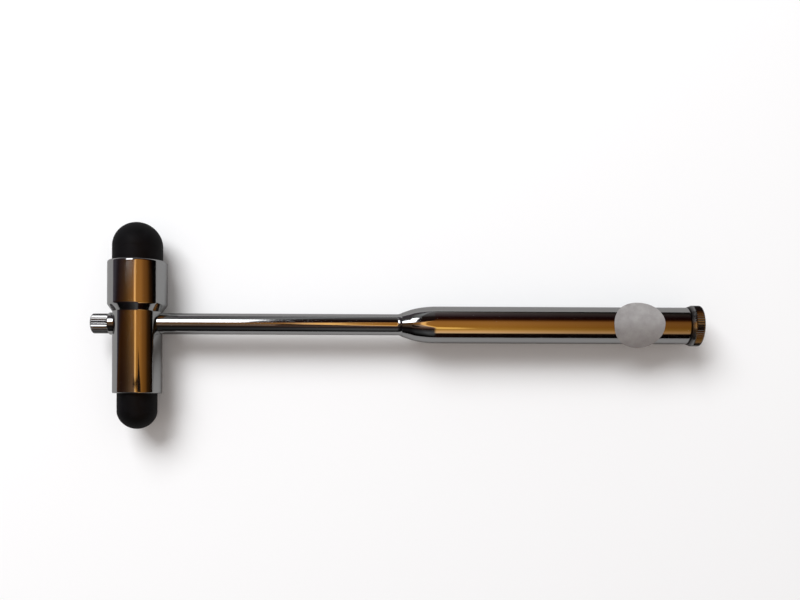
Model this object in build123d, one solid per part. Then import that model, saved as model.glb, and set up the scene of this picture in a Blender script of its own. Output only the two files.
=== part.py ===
from build123d import *
from math import acos, cos, degrees, pi, radians, sin, sqrt, tan
import os

# Reflex hammer of the two-headed kind: a stepped metal head across the end of a slim shaft, a
# domed rubber tip in each end of the head, a needle on a fluted knob screwed into the head, and
# a brush on a knurled cap screwed into the thick hollow grip.
# Millimetres. The handle axis is X, with the cap at the +X end. The head axis is Y, with the
# large tip at the +Y end. Both cross at the working origin, and the last lines move the part so
# that its own origin is the middle of its lowest level.

# Head, a stepped cylinder
small_od = 14.6
step_height = 1.5
large_end = 18.75
small_end = 21.1
step_start = 3.5
step_length = 2.1
step_round = 1.0
step_hollow = 0.5
rim_round = 0.9
rim_break = 0.25
socket_wall = 1.33
large_socket_depth = 10.0
small_socket_depth = 9.5
socket_lead_in = 0.2

# Rubber tips, measured outwards from the rims of the head
large_tip_reach = 11.95
large_dome_depth = 7.4
small_tip_reach = 10.8
small_dome_depth = 5.4
dome_side_share = 0.8
tip_fit = 0.01
tip_floor_gap = 0.3

# Shaft, from the head to the nose of the grip
shaft_od = 6.35
shaft_joint = 80.2
flare_length = 1.5
flare_height = 0.45
spigot_shoulder = 0.675
spigot_length = 5.0
nose_spigot_length = 7.0
spigot_fit = 0.05
seat_margin = 0.1

# Grip, a turned sleeve with a drawn-in nose: a short cone, a shoulder and a long run-out
grip_od = 11.1
nose_cone_angle = 20.0
nose_cone_length = 2.3
nose_shoulder_radius = 12.0
nose_run_out_radius = 55.0
barrel_length = 74.2
grip_wall = 1.45
grip_bore_depth = 36.0
grip_edge_break = 0.3
drill_point = 118.0

# Needle and the fluted knob that carries it
knob_od = 6.05
knob_length = 5.25
knob_chamfer = 0.4
knob_flute_count = 28
knob_flute_depth = 0.16
flange_overhang = 0.33
flange_thickness = 1.9
flange_round = 0.3
needle_thread_od = 4.0
needle_thread_length = 4.2
needle_d = 0.9
needle_free_length = 21.5
needle_point_length = 4.0
needle_tip_d = 0.08
needle_root_depth = 7.0
needle_room = 0.55

# Brush and the knurled cap that carries it
cap_overhang = 0.6
cap_lip = 0.1
cap_thickness = 3.9
cap_bevel_length = 1.2
cap_edge_round = 0.8
cap_groove_count = 56
cap_groove_depth = 0.2
cap_knurl_end = 0.5
brush_thread_height = 0.4
brush_thread_length = 8.0
tuft_root_d = 5.0
tuft_root_depth = 4.5
tuft_bead = 0.5
bristle_d = 0.36
bristle_length = 17.5
bristle_pitch = 0.6
bristle_ring_count = 3
added_bristle_count = 6
bristle_sides = 6
bristle_spread = 1.1
bristle_doming = 0.5

# What both screwed tools share
thread_relief_length = 0.8
thread_relief_depth = 0.45
thread_chamfer = 0.4
running_gap = 0.05
thread_end_gap = 0.5

# Bare round label, stuck on the crest of the grip near the cap
label_d = 15.1
label_thickness = 0.15
label_setback = 15.6
label_turn = 0.7
label_stuck_angle = 20.0
label_lift_radius = 14.6
label_glue = 0.02
label_outline_points = 24

small_r = small_od / 2
large_r = small_r + step_height
shaft_r = shaft_od / 2
grip_r = grip_od / 2
knob_r = knob_od / 2
cap_r = grip_r + cap_overhang
spigot_hole_r = shaft_r - spigot_shoulder
grip_bore_r = grip_r - grip_wall
needle_bore_r = needle_d / 2 + needle_room
needle_thread_r = needle_thread_od / 2
brush_thread_r = grip_bore_r + brush_thread_height
large_tip_r = large_r - socket_wall - tip_fit
small_tip_r = small_r - socket_wall - tip_fit
label_stuck_r = grip_r + label_glue

# Flats milled round the cross bore, just wide enough for what seats on them
flange_r = knob_r + flange_overhang
knob_seat_r = flange_r + seat_margin
shaft_seat_r = shaft_r + seat_margin
knob_seat_x = -sqrt(small_r**2 - knob_seat_r**2)
shaft_seat_x = sqrt(small_r**2 - shaft_seat_r**2)

# Nose of the grip: the slope where shoulder and run-out meet follows from the height they share
nose_foot_r = shaft_r + flare_height
cone_slope = radians(nose_cone_angle)
cone_end_r = nose_foot_r + nose_cone_length * tan(cone_slope)
run_out_rise = grip_r - cone_end_r - nose_shoulder_radius * (1 - cos(cone_slope))
meeting_slope = acos(1 - run_out_rise / (nose_run_out_radius - nose_shoulder_radius))
shoulder_length = nose_shoulder_radius * (sin(cone_slope) - sin(meeting_slope))
run_out_length = nose_run_out_radius * sin(meeting_slope)

# Stations along the handle
needle_thread_end = knob_seat_x + needle_thread_length
needle_tip_x = needle_thread_end + needle_free_length
spigot_start = shaft_seat_x - spigot_length
cone_end = shaft_joint + nose_cone_length
barrel_start = cone_end + shoulder_length + run_out_length
grip_end = barrel_start + barrel_length
cap_end = grip_end + cap_thickness
brush_thread_end = grip_end - brush_thread_length
knob_end = knob_seat_x - flange_thickness - knob_length
label_middle = grip_end - label_setback

# The part's own origin, under the middle of its box at the lowest level
large_top = large_end + large_tip_reach
small_top = small_end + small_tip_reach
to_part_frame = Pos(-(cap_end + knob_end) / 2, -(large_top - small_top) / 2, large_r)


def turned(outline, axis=Axis.X):
    """A solid of revolution from the lines of half a section."""
    return revolve(make_face(outline), axis)


def rod(start, end, radius):
    """A round bar along the handle axis from one station to another."""
    return Pos((start + end) / 2, 0, 0) * Rot(0, 90, 0) * Cylinder(radius, end - start)


def drilled(mouth, floor, radius):
    """The space a drill leaves: a round hole from its mouth to its floor, then the cone of the point."""
    point = radius / tan(radians(drill_point / 2))
    tip = floor + point if floor > mouth else floor - point
    corners = [(mouth, 0), (mouth, radius), (floor, radius), (tip, 0)]
    return turned(Polyline(*corners, close=True))


def threaded_shank(shoulder, end, radius):
    """A shank from its shoulder to its end, with a relief groove at the shoulder and a lead-in at the end."""
    toward_end = 1 if end > shoulder else -1
    groove = shoulder + toward_end * thread_relief_length
    lead_in = end - toward_end * thread_chamfer
    corners = [
        (shoulder, 0),
        (shoulder, radius - thread_relief_depth),
        (groove, radius - thread_relief_depth),
        (groove, radius),
        (lead_in, radius),
        (end, radius - thread_chamfer),
        (end, 0),
    ]
    return turned(Polyline(*corners, close=True))


def fluted(radius, count, depth, start, end):
    """A bar with straight V grooves of a right angle spaced evenly round it."""
    cutter = Rectangle(2 * depth, 2 * depth, rotation=45)
    section = Circle(radius) - PolarLocations(radius - depth + sqrt(2) * depth, count) * cutter
    return Pos(start, 0, 0) * Rot(0, 90, 0) * extrude(section, end - start)


def rings_of(body):
    """The round edges of a turned body, in order along the head axis."""
    return body.edges().filter_by(GeomType.CIRCLE).sort_by(Axis.Y)


def head_body():
    """The stepped cylinder with a blind socket in each end, two flats and the cross bore."""
    step_end = step_start + step_length
    blank = turned(
        Polyline(
            (0, -small_end),
            (small_r, -small_end),
            (small_r, step_start),
            (large_r, step_end),
            (large_r, large_end),
            (0, large_end),
            close=True,
        ),
        Axis.Y,
    )
    # Rings in order from the small end: small rim, foot of the step, top of the step, large rim
    blank = fillet(rings_of(blank)[3], rim_round)
    blank = fillet(rings_of(blank)[2], step_round)
    blank = fillet(rings_of(blank)[1], step_hollow)
    blank = chamfer(rings_of(blank)[0], rim_break)

    large_socket = socket(large_r - socket_wall, large_end, large_socket_depth)
    small_socket = mirror(socket(small_r - socket_wall, small_end, small_socket_depth), Plane.XZ)
    knob_flat = rod(knob_seat_x - large_r, knob_seat_x, knob_seat_r)
    shaft_flat = rod(shaft_seat_x, shaft_seat_x + large_r, shaft_seat_r)
    thread_hole = rod(knob_seat_x, needle_thread_end + thread_end_gap, needle_thread_r)
    needle_hole = rod(needle_thread_end, spigot_start, needle_bore_r)
    spigot_hole = rod(spigot_start - spigot_fit, shaft_seat_x, spigot_hole_r)
    holes = [large_socket, small_socket, knob_flat, shaft_flat, thread_hole, needle_hole, spigot_hole]
    return blank - holes


def socket(radius, mouth, depth):
    """The space of a blind socket along the head axis, with a small lead-in at its mouth."""
    corners = [
        (0, mouth - depth),
        (radius, mouth - depth),
        (radius, mouth - socket_lead_in),
        (radius + socket_lead_in, mouth),
        (0, mouth),
    ]
    return turned(Polyline(*corners, close=True), Axis.Y)


def rubber_tip(radius, rim, depth, reach, dome_depth):
    """A bullet of rubber: a plug down in its socket, and outside a dome of two tangent arcs, side and crown."""
    root = rim - depth + tip_floor_gap
    dome_start = rim + reach - dome_depth
    side_r = dome_side_share * dome_depth
    crown_r = ((radius - side_r) ** 2 + dome_depth**2 - side_r**2) / (2 * (dome_depth - side_r))
    side_middle = Vector(radius - side_r, dome_start)
    crown_middle = Vector(0, dome_start + dome_depth - crown_r)
    meet = crown_middle + (side_middle - crown_middle).normalized() * crown_r
    top = (0, dome_start + dome_depth)
    lines = Polyline(top, (0, root), (radius, root), (radius, dome_start))
    lines += TangentArc((radius, dome_start), meet, tangent=(0, 1))
    lines += TangentArc(top, meet, tangent=(1, 0))
    return turned(lines, Axis.Y)


def shaft():
    """The slim rod: a bored spigot in the head, a small flare where it meets the grip, and a spigot in that."""
    flare_start = shaft_joint - flare_length
    flare_end = (shaft_joint, nose_foot_r)
    lines = Polyline((shaft_joint, 0), (shaft_seat_x, 0), (shaft_seat_x, shaft_r), (flare_start, shaft_r))
    lines += TangentArc((flare_start, shaft_r), flare_end, tangent=(1, 0))
    lines += Line(flare_end, (shaft_joint, 0))
    rod_body = turned(lines)
    spigot_r = spigot_hole_r - spigot_fit
    head_spigot = rod(spigot_start, shaft_seat_x, spigot_r)
    nose_spigot = rod(shaft_joint, shaft_joint + nose_spigot_length, spigot_r)
    needle_space = drilled(spigot_start, needle_tip_x + thread_end_gap, needle_bore_r)
    return rod_body + head_spigot + nose_spigot - needle_space


def grip():
    """The thick sleeve: a convex nose on the shaft, a long barrel, and a bore for the brush open at the cap end."""
    cone_top = (cone_end, cone_end_r)
    shoulder_top = (barrel_start - run_out_length, grip_r - nose_run_out_radius * (1 - cos(meeting_slope)))
    nose_end = (barrel_start, grip_r)
    lines = Polyline((shaft_joint, 0), (shaft_joint, nose_foot_r), cone_top)
    lines += TangentArc(cone_top, shoulder_top, tangent=(cos(cone_slope), sin(cone_slope)))
    lines += TangentArc(nose_end, shoulder_top, tangent=(-1, 0))
    lines += Polyline(
        nose_end,
        (grip_end - grip_edge_break, grip_r),
        (grip_end, grip_r - grip_edge_break),
        (grip_end, 0),
        (shaft_joint, 0),
    )
    sleeve = turned(lines)
    spigot_hole = drilled(shaft_joint, shaft_joint + nose_spigot_length + spigot_fit, spigot_hole_r)
    brush_space = drilled(grip_end, grip_end - grip_bore_depth, grip_bore_r)
    thread_hole = rod(brush_thread_end - thread_end_gap, grip_end, brush_thread_r)
    return sleeve - spigot_hole - brush_space - thread_hole


def needle_knob():
    """The fluted thumb knob with a round flange on the head and a threaded shank that holds the needle."""
    flange_top = knob_seat_x - flange_thickness
    flange_body = rod(flange_top, knob_seat_x, flange_r)
    flange_body = fillet(flange_body.edges().sort_by(Axis.X)[0], flange_round)
    envelope = rod(knob_end, flange_top, knob_r)
    envelope = chamfer(envelope.edges().sort_by(Axis.X)[0], knob_chamfer)
    grooved = fluted(knob_r, knob_flute_count, knob_flute_depth, knob_end, flange_top)
    shank = threaded_shank(knob_seat_x, needle_thread_end, needle_thread_r - running_gap)
    root_start = needle_thread_end - needle_root_depth
    needle_socket = rod(root_start - running_gap, needle_thread_end, needle_d / 2 + running_gap)
    return (grooved & envelope) + flange_body + shank - needle_socket


def needle():
    """The straight steel pin with a long point, its blunt end down in the knob's shank."""
    root_start = needle_thread_end - needle_root_depth
    point_start = needle_tip_x - needle_point_length
    corners = [
        (root_start, 0),
        (root_start, needle_d / 2),
        (point_start, needle_d / 2),
        (needle_tip_x, needle_tip_d / 2),
        (needle_tip_x, 0),
    ]
    return turned(Polyline(*corners, close=True))


def brush_cap():
    """The knurled end cap with a smooth bevel towards the grip and a threaded shank that holds the tuft."""
    bevel_end = grip_end + cap_bevel_length
    bevel = turned(
        Polyline(
            (grip_end, 0),
            (grip_end, grip_r + cap_lip),
            (bevel_end, cap_r),
            (cap_end, cap_r),
            (cap_end, 0),
            close=True,
        )
    )
    envelope = fillet(bevel.edges().filter_by(GeomType.CIRCLE).sort_by(Axis.X)[-1], cap_edge_round)
    knurl_end = cap_end - cap_knurl_end
    band = fluted(cap_r, cap_groove_count, cap_groove_depth, bevel_end, knurl_end)
    groove_space = rod(bevel_end, knurl_end, cap_r) - band
    shank = threaded_shank(grip_end, brush_thread_end, brush_thread_r - running_gap)
    tuft_floor = brush_thread_end + tuft_root_depth + running_gap
    tuft_socket = rod(brush_thread_end, tuft_floor, tuft_root_d / 2 + running_gap)
    return envelope - groove_space + shank - tuft_socket


def brush_tuft():
    """The nylon bristles in rings, bound by a root plug that sits in the cap's shank."""
    plug = rod(brush_thread_end - tuft_bead, brush_thread_end + tuft_root_depth, tuft_root_d / 2)
    bristles = []
    for ring in range(bristle_ring_count + 1):
        around = added_bristle_count * ring or 1
        length = bristle_length - bristle_doming * ring**2 / bristle_ring_count
        bristle = extrude(Plane.YZ * RegularPolygon(bristle_d / 2, bristle_sides), -length)
        leaning = Pos(0, 0, bristle_pitch * ring) * Rot(0, bristle_spread * ring, 0) * bristle
        for turn in range(around):
            bristles.append(Pos(brush_thread_end, 0, 0) * Rot(360 / around * turn, 0, 0) * leaning)
    return plug + bristles


def label_across(distance):
    """How far to the side a point of the label lies, from its distance to the crest along the bent paper."""
    stuck = radians(label_stuck_angle)
    beyond = abs(distance) - label_stuck_r * stuck
    if beyond <= 0:
        return label_stuck_r * sin(distance / label_stuck_r)
    lifted = label_lift_radius * (sin(stuck + beyond / label_lift_radius) - sin(stuck))
    across = label_stuck_r * sin(stuck) + lifted
    return across if distance > 0 else -across


def label_face(depth):
    """One face of the bent paper as three tangent arcs, seen along the handle, at a depth in the paper."""
    stuck = radians(label_stuck_angle)
    lift_angle = degrees((label_d / 2 - label_stuck_r * stuck) / label_lift_radius)
    middle_out = (label_stuck_r - label_lift_radius) * sin(stuck)
    middle_up = (label_stuck_r - label_lift_radius) * cos(stuck)
    lift_r = label_lift_radius + depth
    right = CenterArc((middle_out, middle_up), lift_r, 90 - label_stuck_angle - lift_angle, lift_angle)
    top = CenterArc((0, 0), label_stuck_r + depth, 90 - label_stuck_angle, 2 * label_stuck_angle)
    left = CenterArc((-middle_out, middle_up), lift_r, 90 + label_stuck_angle, lift_angle)
    return right, top, left


def blank_label():
    """A thin round label that hugs the crest of the grip and lifts off it towards both sides."""
    under, over = label_face(0), label_face(label_thickness)
    right_edge = Line(under[0] @ 0, over[0] @ 0)
    left_edge = Line(under[2] @ 1, over[2] @ 1)
    section = make_face([*under, *over, right_edge, left_edge])
    strip = extrude(Plane.YZ * section, label_d, both=True)
    turns = [2 * pi * step / label_outline_points for step in range(label_outline_points)]
    outline = [(label_d / 2 * cos(t), label_across(label_d / 2 * sin(t))) for t in turns]
    disc = extrude(make_face(Spline(*outline, periodic=True)), grip_od)
    return Pos(label_middle, 0, 0) * Rot(label_turn, 0, 0) * (strip & disc)


large_tip = rubber_tip(large_tip_r, large_end, large_socket_depth, large_tip_reach, large_dome_depth)
small_tip = rubber_tip(small_tip_r, small_end, small_socket_depth, small_tip_reach, small_dome_depth)
pieces = {
    "head_body": head_body(),
    "large_rubber_tip": large_tip,
    "small_rubber_tip": mirror(small_tip, Plane.XZ),
    "shaft": shaft(),
    "grip": grip(),
    "needle_knob": needle_knob(),
    "needle": needle(),
    "brush_cap": brush_cap(),
    "brush_tuft": brush_tuft(),
    "blank_label": blank_label(),
}
os.makedirs("parts", exist_ok=True)
for name, piece in pieces.items():
    export_step(to_part_frame * piece, f"parts/{name}.step")
print("overall length", round(cap_end - knob_end, 2))
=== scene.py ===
# %% [markdown]
# # Reflex hammer
# A doctor's percussion hammer: a chrome-plated brass head across the end of a slim shaft, black
# rubber in both ends of the head, a fluted knob with a needle opposite the shaft, and a thick
# grip whose knurled cap carries a brush. The construction is imported as a fixed frame, and this
# file gives every piece the surface that the eye meets. All shapes are worked out in millimetres
# round the point where handle and head cross, and turned to metres in the last step.

import math

import bpy
import numpy as np
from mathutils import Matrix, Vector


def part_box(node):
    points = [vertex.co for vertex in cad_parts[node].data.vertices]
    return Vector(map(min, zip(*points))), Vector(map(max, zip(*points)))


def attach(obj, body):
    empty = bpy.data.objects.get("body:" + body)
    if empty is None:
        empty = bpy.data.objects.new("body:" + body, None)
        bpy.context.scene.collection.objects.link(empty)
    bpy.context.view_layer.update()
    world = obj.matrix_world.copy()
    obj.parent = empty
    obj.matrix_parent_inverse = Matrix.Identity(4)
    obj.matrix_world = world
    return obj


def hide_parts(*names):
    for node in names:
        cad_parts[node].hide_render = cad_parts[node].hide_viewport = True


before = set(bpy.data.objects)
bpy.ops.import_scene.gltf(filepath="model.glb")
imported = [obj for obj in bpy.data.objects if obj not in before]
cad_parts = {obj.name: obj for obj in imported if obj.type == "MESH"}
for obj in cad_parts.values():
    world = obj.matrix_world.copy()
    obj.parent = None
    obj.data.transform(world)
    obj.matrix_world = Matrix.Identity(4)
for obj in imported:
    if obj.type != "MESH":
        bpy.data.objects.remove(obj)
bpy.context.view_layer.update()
head_low, head_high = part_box("head_body")
grip_low, grip_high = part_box("grip")
crossing = np.array(
    [(head_low.x + head_high.x) / 2, (grip_low.y + grip_high.y) / 2, (grip_low.z + grip_high.z) / 2]
)
print("handle and head cross at", np.round(crossing * 1000, 3), "mm")

# %% [markdown]
# ## Colours and nodes
# Colours are written as they look on a screen and have to be turned to linear light for the
# shader. A material is a small graph, and one function adds every node of it: what is given as
# an input is either a value or another node's output.

# %% Helpers for colours and nodes
MM = 0.001


def linear(screen_colour):
    """A screen colour such as #C3C5C5 as linear red, green, blue and alpha: the sRGB curve, undone
    channel by channel."""
    channels = np.array([int(screen_colour[i : i + 2], 16) for i in (1, 3, 5)]) / 255
    light = np.where(channels <= 0.04045, channels / 12.92, ((channels + 0.055) / 1.055) ** 2.4)
    return (*light.tolist(), 1.0)


def add_node(tree, kind, inputs=(), **settings):
    """Adds one node to a tree, sets its properties, and sets or links the inputs that are given by
    name or number."""
    node = tree.nodes.new(kind)
    for name, value in settings.items():
        setattr(node, name, value)
    for name, value in dict(inputs).items():
        if isinstance(value, bpy.types.NodeSocket):
            tree.links.new(value, node.inputs[name])
        else:
            node.inputs[name].default_value = value
    return node


def new_material(name):
    """An empty node material and its tree."""
    material = bpy.data.materials.new(name)
    material.use_nodes = True
    material.node_tree.nodes.clear()
    return material, material.node_tree


def finish_material(tree, shader_kind, inputs):
    """Ends a material's graph with its one shader and the output behind it."""
    shader = add_node(tree, shader_kind, inputs)
    add_node(tree, "ShaderNodeOutputMaterial", {"Surface": shader.outputs[0]})


# %% [markdown]
# The patterns of this file are few: a noise, a colour ramp along a value, a value carried over
# from one range to another, one step of arithmetic, two colours blended, and a bump. Each gets
# a function that adds its node and gives back the output, so a material reads like a recipe.

# %% Helpers for patterns
def noise(tree, where, size, detail, roughness=0.5):
    """A noise pattern with patches of about the given size in millimetres."""
    inputs = {"Vector": where, "Scale": 1 / (size * MM), "Detail": detail, "Roughness": roughness}
    return add_node(tree, "ShaderNodeTexNoise", inputs).outputs["Fac"]


def ramp(tree, value, stops):
    """A colour ramp along a value: each stop is a place from 0 to 1 and a screen colour or a linear
    one."""
    node = add_node(tree, "ShaderNodeValToRGB", {"Fac": value})
    elements = node.color_ramp.elements
    while len(elements) < len(stops):
        elements.new(0.5)
    for element, (place, colour) in zip(elements, stops):
        element.position = place
        element.color = linear(colour) if isinstance(colour, str) else colour
    return node.outputs["Color"]


def carried(tree, value, start, end, low=0.0, high=1.0, curve="LINEAR"):
    """A value carried over from the range start to end to the range low to high, and held at both
    ends."""
    inputs = {"Value": value, "From Min": start, "From Max": end, "To Min": low, "To Max": high}
    return add_node(tree, "ShaderNodeMapRange", inputs, interpolation_type=curve).outputs["Result"]


def reckoned(tree, operation, *values):
    """One step of arithmetic on numbers or other nodes' outputs."""
    return add_node(tree, "ShaderNodeMath", dict(enumerate(values)), operation=operation).outputs[0]


def blend(tree, share, one, other, kind="MIX"):
    """Two colours, mixed by a share from 0 to 1 or, with kind MULTIPLY, multiplied."""
    inputs = {"Factor": share, 6: one, 7: other}
    return add_node(tree, "ShaderNodeMix", inputs, data_type="RGBA", blend_type=kind).outputs[2]


def bump(tree, height, depth, strength):
    """A surface that rises and falls with a height from 0 to 1, over a depth in millimetres."""
    inputs = {"Height": height, "Distance": depth * MM, "Strength": strength}
    return add_node(tree, "ShaderNodeBump", inputs).outputs["Normal"]


# %% [markdown]
# ## Surfaces
# Nearly everything on this hammer was turned on a lathe, so nearly every piece is one surface of
# two parameters: how far along the outline, and how far round the axis. The grid is computed as
# one array. A row on the axis is a single point, and the last column joins the first, so the
# skin is closed.

# %% Helpers for turned surfaces
COLUMNS = 160
SHARP_EDGE = math.radians(38)


def rounded(corners, steps=7):
    """An outline from corners, each (along, out, radius): where the radius isn't 0, an arc tangent
    to both sides replaces the corner, and two close rows beside it keep the shading of long runs
    straight."""
    line = []
    points = np.array([c[:2] for c in corners], float)
    for i, (along, out, radius) in enumerate(corners):
        here = np.array([along, out], float)
        if radius == 0 or i in (0, len(corners) - 1):
            line.append(here)
            continue
        back, ahead = points[i - 1] - here, points[i + 1] - here
        back_length, ahead_length = np.linalg.norm(back), np.linalg.norm(ahead)
        back, ahead = back / back_length, ahead / ahead_length
        half = math.acos(np.clip(back @ ahead, -1, 1)) / 2
        reach = min(radius / math.tan(half), 0.49 * back_length, 0.49 * ahead_length)
        middle = here + (back + ahead) / np.linalg.norm(back + ahead) * reach / math.cos(half)
        start, end = here + back * reach - middle, here + ahead * reach - middle
        turn = math.atan2(start[0] * end[1] - start[1] * end[0], start @ end)
        t = np.linspace(0, turn, steps)[:, None]
        arc = middle + np.cos(t) * start + np.sin(t) * np.array([-start[1], start[0]])
        beside = min(0.25 * reach + 0.04, 0.2 * back_length, 0.2 * ahead_length)
        line += [arc[0] + back * beside, *arc, arc[-1] + ahead * beside]
    return np.array(line)


def turned(outline, columns=COLUMNS):
    """A grid of points: each row is a circle round the handle axis, at the outline's distance along
    it and out from it."""
    angle = np.linspace(0, 2 * np.pi, columns, endpoint=False)
    along, out = outline[:, 0, None], outline[:, 1, None]
    return np.stack([along + 0 * angle, out * np.cos(angle), out * np.sin(angle)], axis=-1)


def onto_head_axis(points):
    """Turns points from the handle axis X to the head axis Y, keeping what is up."""
    return np.stack([-points[..., 1], points[..., 0], points[..., 2]], axis=-1)


def mesh_piece(name, vertices, faces, body, material, stands_for):
    """Makes a mesh from points in millimetres round the crossing, shades it smooth but for sharp
    corners, and lets it ride on its body."""
    mesh = bpy.data.meshes.new(name)
    mesh.from_pydata((vertices / 1000 + crossing).tolist(), [], faces)
    mesh.validate()
    mesh.shade_smooth()
    mesh.set_sharp_from_angle(angle=SHARP_EDGE)
    piece = bpy.data.objects.new(name, mesh)
    bpy.context.scene.collection.objects.link(piece)
    piece.data.materials.append(material)
    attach(piece, body)
    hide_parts(*stands_for)
    print(name, "of", len(mesh.polygons), "faces")
    return piece


def skin(points):
    """The vertices and faces of a grid closed round: a first or last row that lies on the axis
    becomes one point with triangles, and all other faces have four corners."""
    rows, columns = points.shape[:2]
    one_point = np.ptp(points, axis=1).max(axis=-1) < 1e-9
    starts = np.concatenate([[0], np.cumsum(np.where(one_point, 1, columns))])
    index = starts[:-1, None] + np.where(one_point[:, None], 0, np.arange(columns))
    vertices = np.concatenate([points[r, :1] if one_point[r] else points[r] for r in range(rows)])
    here, ahead = index[:-1], index[1:]
    corners = [here, ahead, np.roll(ahead, -1, 1), np.roll(here, -1, 1)]
    quads = np.stack(corners, axis=-1).reshape(-1, 4)
    faces = [tuple(dict.fromkeys(quad)) for quad in quads.tolist()]
    return vertices, [face for face in faces if len(face) > 2]


def outwards(vertices, faces):
    """The same faces, turned over if the volume they enclose comes out negative."""
    first = vertices[[f[0] for f in faces]]
    volume = 0.0
    for a, b in ((1, 2), (2, 3)):
        some = [f for f in faces if len(f) > b]
        p, q, r = (vertices[[f[k] for f in some]] for k in (0, a, b))
        volume += (p * np.cross(q, r)).sum()
    return faces if volume > 0 else [face[::-1] for face in faces]


def grid_piece(name, points, body, material, stands_for):
    """Makes a piece from one closed grid of points."""
    vertices, faces = skin(points)
    faces = outwards(vertices, faces)
    return mesh_piece(name, vertices, faces, body, material, stands_for)

# %% [markdown]
# ## Chrome-plated brass
# The metal parts are turned brass, buffed and plated with nickel and a thin bright layer of
# chromium. Chromium mirrors a little over half of the light, evenly over the colours, so the
# metal has no colour of its own, and what it shows is the room. Two things keep it from looking
# computed: the buffing wheel leaves a surface that isn't quite true, and fingers leave a faint
# haze in patches. The first is a bump a few microns high, the second a change in roughness.
# A piece can be made darker in places: such a piece carries a number from 0 to 1 at each point,
# under the name darkening, which is 0 wherever it isn't given. On the cap it is painted shade on
# the bevel and a plain darker tone on the knurl.

# %% Material: chrome-plated brass
BUFFING_WAVE, WAVE_DEPTH = 5.0, 0.006
HAZE_PATCH = 9.0
POLISH_GRAIN, GRAIN_SHARE = 0.35, 0.35
DARKENING_DULLS = 0.25

chrome_plate, tree = new_material("chrome_plated_brass")
place = add_node(tree, "ShaderNodeTexCoord").outputs["Object"]
haze = noise(tree, place, HAZE_PATCH, 4.0, 0.6)
grain = noise(tree, place, POLISH_GRAIN, 2.0)
haze_and_grain = reckoned(tree, "MULTIPLY_ADD", grain, GRAIN_SHARE, haze)
polish = carried(tree, haze_and_grain, 0.5, 0.9, 0.05, 0.13)
# Where darkening is given the colour goes towards near black: painted shade on the cap's bevel, a
# plain darker tone on its knurl.
darkening = add_node(tree, "ShaderNodeAttribute", attribute_name="darkening").outputs["Fac"]
finish_material(
    tree,
    "ShaderNodeBsdfPrincipled",
    {
        "Base Color": blend(tree, darkening, linear("#C4C5C4"), linear("#2A2320")),
        "Metallic": 1.0,
        "Roughness": reckoned(tree, "MULTIPLY_ADD", darkening, DARKENING_DULLS, polish),
        "Normal": bump(tree, noise(tree, place, BUFFING_WAVE, 1.0), WAVE_DEPTH, 1.0),
    },
)
print("material:", chrome_plate.name)

# %% [markdown]
# ## Moulded rubber
# The striking tips are compression-moulded black rubber. Carbon black makes it very dark, the
# mould gives it a fine dull grain, and handling leaves a little grey dust in that grain, so it
# scatters light softly and has no sharp reflection.

# %% Material: moulded black rubber
MOULD_GRAIN, GRAIN_DEPTH = 0.4, 0.03
DUST_PATCH = 3.5

tip_rubber, tree = new_material("moulded_black_rubber")
place = add_node(tree, "ShaderNodeTexCoord").outputs["Object"]
dust = noise(tree, place, DUST_PATCH, 6.0, 0.7)
finish_material(
    tree,
    "ShaderNodeBsdfPrincipled",
    {
        "Base Color": ramp(tree, dust, [(0.42, "#050506"), (0.72, "#100F12")]),
        "Roughness": carried(tree, dust, 0.3, 0.7, 0.52, 0.72),
        "IOR": 1.52,
        "Specular IOR Level": 0.2,
        "Normal": bump(tree, noise(tree, place, MOULD_GRAIN, 3.0), GRAIN_DEPTH, 0.5),
    },
)
print("material:", tip_rubber.name)

# %% [markdown]
# ## Ground steel
# The needle is hardened steel, ground while it turns, which leaves fine rings round it. A noise
# that is stretched twenty times across the axis draws them.

# %% Material: ground steel needle
GRINDING_MARK, MARK_DEPTH = 0.12, 0.002
MARK_STRETCH = 0.05

needle_steel, tree = new_material("ground_steel")
place = add_node(tree, "ShaderNodeTexCoord").outputs["Object"]
rings = add_node(
    tree, "ShaderNodeMapping", {"Vector": place, "Scale": (1.0, MARK_STRETCH, MARK_STRETCH)}
)
marks = noise(tree, rings.outputs["Vector"], GRINDING_MARK, 2.0)
finish_material(
    tree,
    "ShaderNodeBsdfPrincipled",
    {
        "Base Color": linear("#C2C1BF"),
        "Metallic": 1.0,
        "Roughness": carried(tree, marks, 0.3, 0.7, 0.18, 0.34),
        "Normal": bump(tree, marks, MARK_DEPTH, 0.4),
    },
)
print("material:", needle_steel.name)

# %% [markdown]
# ## Nylon
# The bristles of the brush are translucent nylon: a little light goes in, scatters and comes
# out again nearby, which makes them look soft and milky.

# %% Material: nylon bristles
BRISTLE_SHADE = 1.2

bristle_nylon, tree = new_material("nylon_bristle")
place = add_node(tree, "ShaderNodeTexCoord").outputs["Object"]
shade = noise(tree, place, BRISTLE_SHADE, 1.0)
finish_material(
    tree,
    "ShaderNodeBsdfPrincipled",
    {
        "Base Color": ramp(tree, shade, [(0.3, "#CFCABD"), (0.7, "#E6E3DA")]),
        "Roughness": 0.32,
        "IOR": 1.53,
        "Subsurface Weight": 0.25,
        "Subsurface Scale": 0.5 * MM,
    },
)
print("material:", bristle_nylon.name)

# %% [markdown]
# ## Label paper
# The label is matt grey paper. Its fibres give it a fine relief and a soft mottling, and it is
# left bare.

# %% Material: matt label paper
PAPER_FIBRE, FIBRE_DEPTH, FIBRE_SHARE = 0.22, 0.012, 0.5
PAPER_MOTTLE = 2.5

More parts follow.
